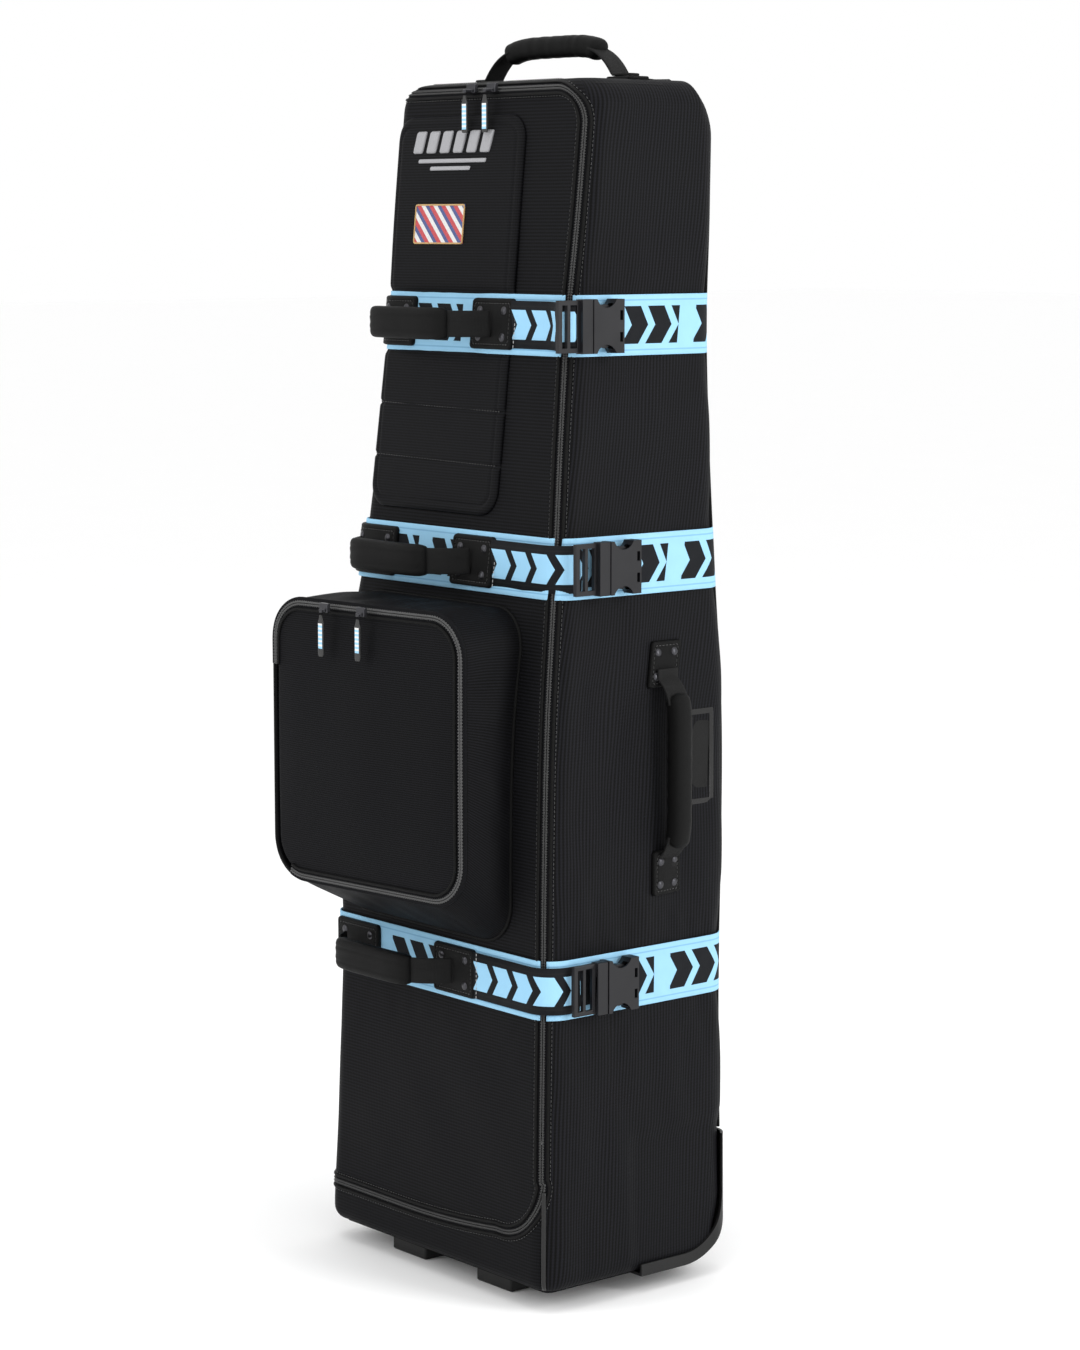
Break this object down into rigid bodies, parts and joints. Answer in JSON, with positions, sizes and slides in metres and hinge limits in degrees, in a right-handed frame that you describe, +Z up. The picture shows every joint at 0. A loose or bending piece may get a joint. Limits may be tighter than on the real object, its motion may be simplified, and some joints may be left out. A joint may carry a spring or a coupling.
{
  "type": "golf travel case",
  "caption": "Upright soft travel case for a golf bag: zipped front door, cinch straps with side-release buckles, padded handles, front pocket and wheels in a moulded kick plate.",
  "frame": {"origin": "on the floor, under the middle of the whole footprint", "axes": "+Z up, -Y out of the front door, +X towards the side with the carrying handle and the buckles"},
  "size_m": [0.4331, 0.3596, 1.343],
  "materials": {
    "ripstop": "fine black twill weave",
    "quilt": "padded and quilted",
    "zip_tape": "coil zip tape",
    "blue_webbing": "light blue woven webbing",
    "black_webbing": "black woven webbing",
    "buckle_plastic": "dark grey moulded",
    "pad_cloth": "coated black cloth",
    "gunmetal": "gunmetal",
    "axle_steel": "plain steel",
    "emblem_thread": "silver embroidery",
    "patch_cloth": "woven patch",
    "kick_plastic": "black moulded",
    "wheel_rubber": "hard tyre",
    "tag_pane": "clear flexible window"
  },
  "bodies": {
    "shell": {"back_panel": "ripstop", "base_panel": "ripstop", "top_panel": "ripstop", "left_side_panel": "ripstop", "right_side_panel": "ripstop", "base_board": "kick_plastic", "top_lining": "quilt", "shell_zip": "zip_tape", "kick_plate": "kick_plastic", "left_wheel_housing": "kick_plastic", "right_wheel_housing": "kick_plastic", "wheel_axles": "axle_steel", "front_feet": "kick_plastic", "rear_straps": "blue_webbing", "upper_buckle_socket": "buckle_plastic", "middle_buckle_socket": "buckle_plastic", "lower_buckle_socket": "buckle_plastic", "side_handle_pads": "pad_cloth", "side_handle_rivets": "gunmetal", "tag_frame": "buckle_plastic", "tag_window": "tag_pane", "top_handle_anchors": "black_webbing"},
    "door": {"front_panel": "ripstop", "panel_zip": "zip_tape", "quilted_patch": "quilt", "chest_emblem": "emblem_thread", "chest_patch": "patch_cloth", "pocket_gusset": "ripstop", "front_straps": "blue_webbing", "tail_straps": "black_webbing", "upper_handle_pads": "pad_cloth", "middle_handle_pads": "pad_cloth", "lower_handle_pads": "pad_cloth", "wrap_handle_rivets": "gunmetal"},
    "pocket_door": {"pocket_flap": "ripstop", "pocket_zip": "zip_tape"},
    "left_wheel_body": {"left_wheel": "wheel_rubber"},
    "right_wheel_body": {"right_wheel": "wheel_rubber"},
    "top_handle": {"top_handle_grip": "pad_cloth"},
    "side_handle": {"side_handle_grip": "pad_cloth"},
    "upper_wrap": {"upper_wrap_grip": "pad_cloth"},
    "upper_plug": {"upper_buckle_plug": "buckle_plastic"},
    "upper_arm_low": {"upper_release_low": "buckle_plastic"},
    "upper_arm_high": {"upper_release_high": "buckle_plastic"},
    "middle_wrap": {"middle_wrap_grip": "pad_cloth"},
    "middle_plug": {"middle_buckle_plug": "buckle_plastic"},
    "middle_arm_low": {"middle_release_low": "buckle_plastic"},
    "middle_arm_high": {"middle_release_high": "buckle_plastic"},
    "lower_wrap": {"lower_wrap_grip": "pad_cloth"},
    "lower_plug": {"lower_buckle_plug": "buckle_plastic"},
    "lower_arm_low": {"lower_release_low": "buckle_plastic"},
    "lower_arm_high": {"lower_release_high": "buckle_plastic"},
    "main_slider_left_body": {"main_slider_left": "gunmetal"},
    "main_tab_left_body": {"main_pull_tab_left": "black_webbing"},
    "pocket_slider_left_body": {"pocket_slider_left": "gunmetal"},
    "pocket_tab_left_body": {"pocket_pull_tab_left": "black_webbing"},
    "main_slider_right_body": {"main_slider_right": "gunmetal"},
    "main_tab_right_body": {"main_pull_tab_right": "black_webbing"},
    "pocket_slider_right_body": {"pocket_slider_right": "gunmetal"},
    "pocket_tab_right_body": {"pocket_pull_tab_right": "black_webbing"}
  },
  "joints": [
    {"name": "door_hinge", "type": "hinge", "parent": "shell", "child": "door", "pos_m": [-0.221, -0.014, 0.65], "axis": [0, 0, -1], "range_deg": [0, 125]},
    {"name": "pocket_hinge", "type": "hinge", "parent": "door", "child": "pocket_door", "pos_m": [-0.191, -0.172, 0.566], "axis": [0, 0, -1], "range_deg": [0, 100]},
    {"name": "left_wheel_spin", "type": "hinge", "parent": "shell", "child": "left_wheel_body", "pos_m": [-0.159, 0.134, 0.038], "axis": [1, 0, 0], "continuous": true},
    {"name": "right_wheel_spin", "type": "hinge", "parent": "shell", "child": "right_wheel_body", "pos_m": [0.121, 0.134, 0.038], "axis": [1, 0, 0], "continuous": true},
    {"name": "top_handle_swing", "type": "hinge", "parent": "shell", "child": "top_handle", "pos_m": [-0.019, 0.088, 1.3], "axis": [1, 0, 0], "range_deg": [-65, 65]},
    {"name": "side_handle_swing", "type": "hinge", "parent": "shell", "child": "side_handle", "pos_m": [0.18009, 0.078, 0.569], "axis": [0, 0, 1], "range_deg": [-55, 55]},
    {"name": "upper_wrap_swing", "type": "hinge", "parent": "door", "child": "upper_wrap", "pos_m": [-0.066, -0.0422, 1.037], "axis": [1, 0, 0], "range_deg": [-45, 45]},
    {"name": "upper_plug_pull", "type": "slide", "parent": "door", "child": "upper_plug", "axis": [0, -1, 0], "range_m": [0, 0.032]},
    {"name": "upper_squeeze_low", "type": "hinge", "parent": "upper_plug", "child": "upper_arm_low", "pos_m": [0.15793, -0.0129, 1.0205], "axis": [1, 0, 0], "range_deg": [0, 7], "stiffness_Nm_per_rad": 0.05},
    {"name": "upper_squeeze_high", "type": "hinge", "parent": "upper_plug", "child": "upper_arm_high", "pos_m": [0.15793, -0.0129, 1.0535], "axis": [-1, 0, 0], "range_deg": [0, 7], "stiffness_Nm_per_rad": 0.05},
    {"name": "middle_wrap_swing", "type": "hinge", "parent": "door", "child": "middle_wrap", "pos_m": [-0.066, -0.07152, 0.787], "axis": [1, 0, 0], "range_deg": [-45, 12]},
    {"name": "middle_plug_pull", "type": "slide", "parent": "door", "child": "middle_plug", "axis": [0, -1, 0], "range_m": [0, 0.032]},
    {"name": "middle_squeeze_low", "type": "hinge", "parent": "middle_plug", "child": "middle_arm_low", "pos_m": [0.17227, -0.0009, 0.7705], "axis": [1, 0, 0], "range_deg": [0, 7], "stiffness_Nm_per_rad": 0.05},
    {"name": "middle_squeeze_high", "type": "hinge", "parent": "middle_plug", "child": "middle_arm_high", "pos_m": [0.17227, -0.0009, 0.8035], "axis": [-1, 0, 0], "range_deg": [0, 7], "stiffness_Nm_per_rad": 0.05},
    {"name": "lower_wrap_swing", "type": "hinge", "parent": "door", "child": "lower_wrap", "pos_m": [-0.066, -0.09505, 0.347], "axis": [1, 0, 0], "range_deg": [-12, 45]},
    {"name": "lower_plug_pull", "type": "slide", "parent": "door", "child": "lower_plug", "axis": [0, -1, 0], "range_m": [0, 0.032]},
    {"name": "lower_squeeze_low", "type": "hinge", "parent": "lower_plug", "child": "lower_arm_low", "pos_m": [0.18443, -0.0129, 0.3305], "axis": [1, 0, 0], "range_deg": [0, 7], "stiffness_Nm_per_rad": 0.05},
    {"name": "lower_squeeze_high", "type": "hinge", "parent": "lower_plug", "child": "lower_arm_high", "pos_m": [0.18443, -0.0129, 0.3635], "axis": [-1, 0, 0], "range_deg": [0, 7], "stiffness_Nm_per_rad": 0.05},
    {"name": "main_slider_left_run", "type": "slide", "parent": "door", "child": "main_slider_left_body", "axis": [-1, 0, 0], "range_m": [0, 0.09]},
    {"name": "main_tab_left_swing", "type": "hinge", "parent": "main_slider_left_body", "child": "main_tab_left_body", "pos_m": [-0.045, -0.0168, 1.2782], "axis": [-1, 0, 0], "range_deg": [0, 88]},
    {"name": "pocket_slider_left_run", "type": "slide", "parent": "pocket_door", "child": "pocket_slider_left_body", "axis": [-0.9942, -0.1071, 0], "range_m": [0, 0.045]},
    {"name": "pocket_tab_left_swing", "type": "hinge", "parent": "pocket_slider_left_body", "child": "pocket_tab_left_body", "pos_m": [-0.091, -0.17853, 0.7287], "axis": [-1, 0, 0], "range_deg": [0, 88]},
    {"name": "main_slider_right_run", "type": "slide", "parent": "door", "child": "main_slider_right_body", "axis": [1, 0, 0], "range_m": [0, 0.09]},
    {"name": "main_tab_right_swing", "type": "hinge", "parent": "main_slider_right_body", "child": "main_tab_right_body", "pos_m": [-0.011, -0.0168, 1.2782], "axis": [-1, 0, 0], "range_deg": [0, 88]},
    {"name": "pocket_slider_right_run", "type": "slide", "parent": "pocket_door", "child": "pocket_slider_right_body", "axis": [0.9942, 0.1071, 0], "range_m": [0, 0.08]},
    {"name": "pocket_tab_right_swing", "type": "hinge", "parent": "pocket_slider_right_body", "child": "pocket_tab_right_body", "pos_m": [-0.034, -0.17238, 0.7287], "axis": [-1, 0, 0], "range_deg": [0, 88]}
  ]
}
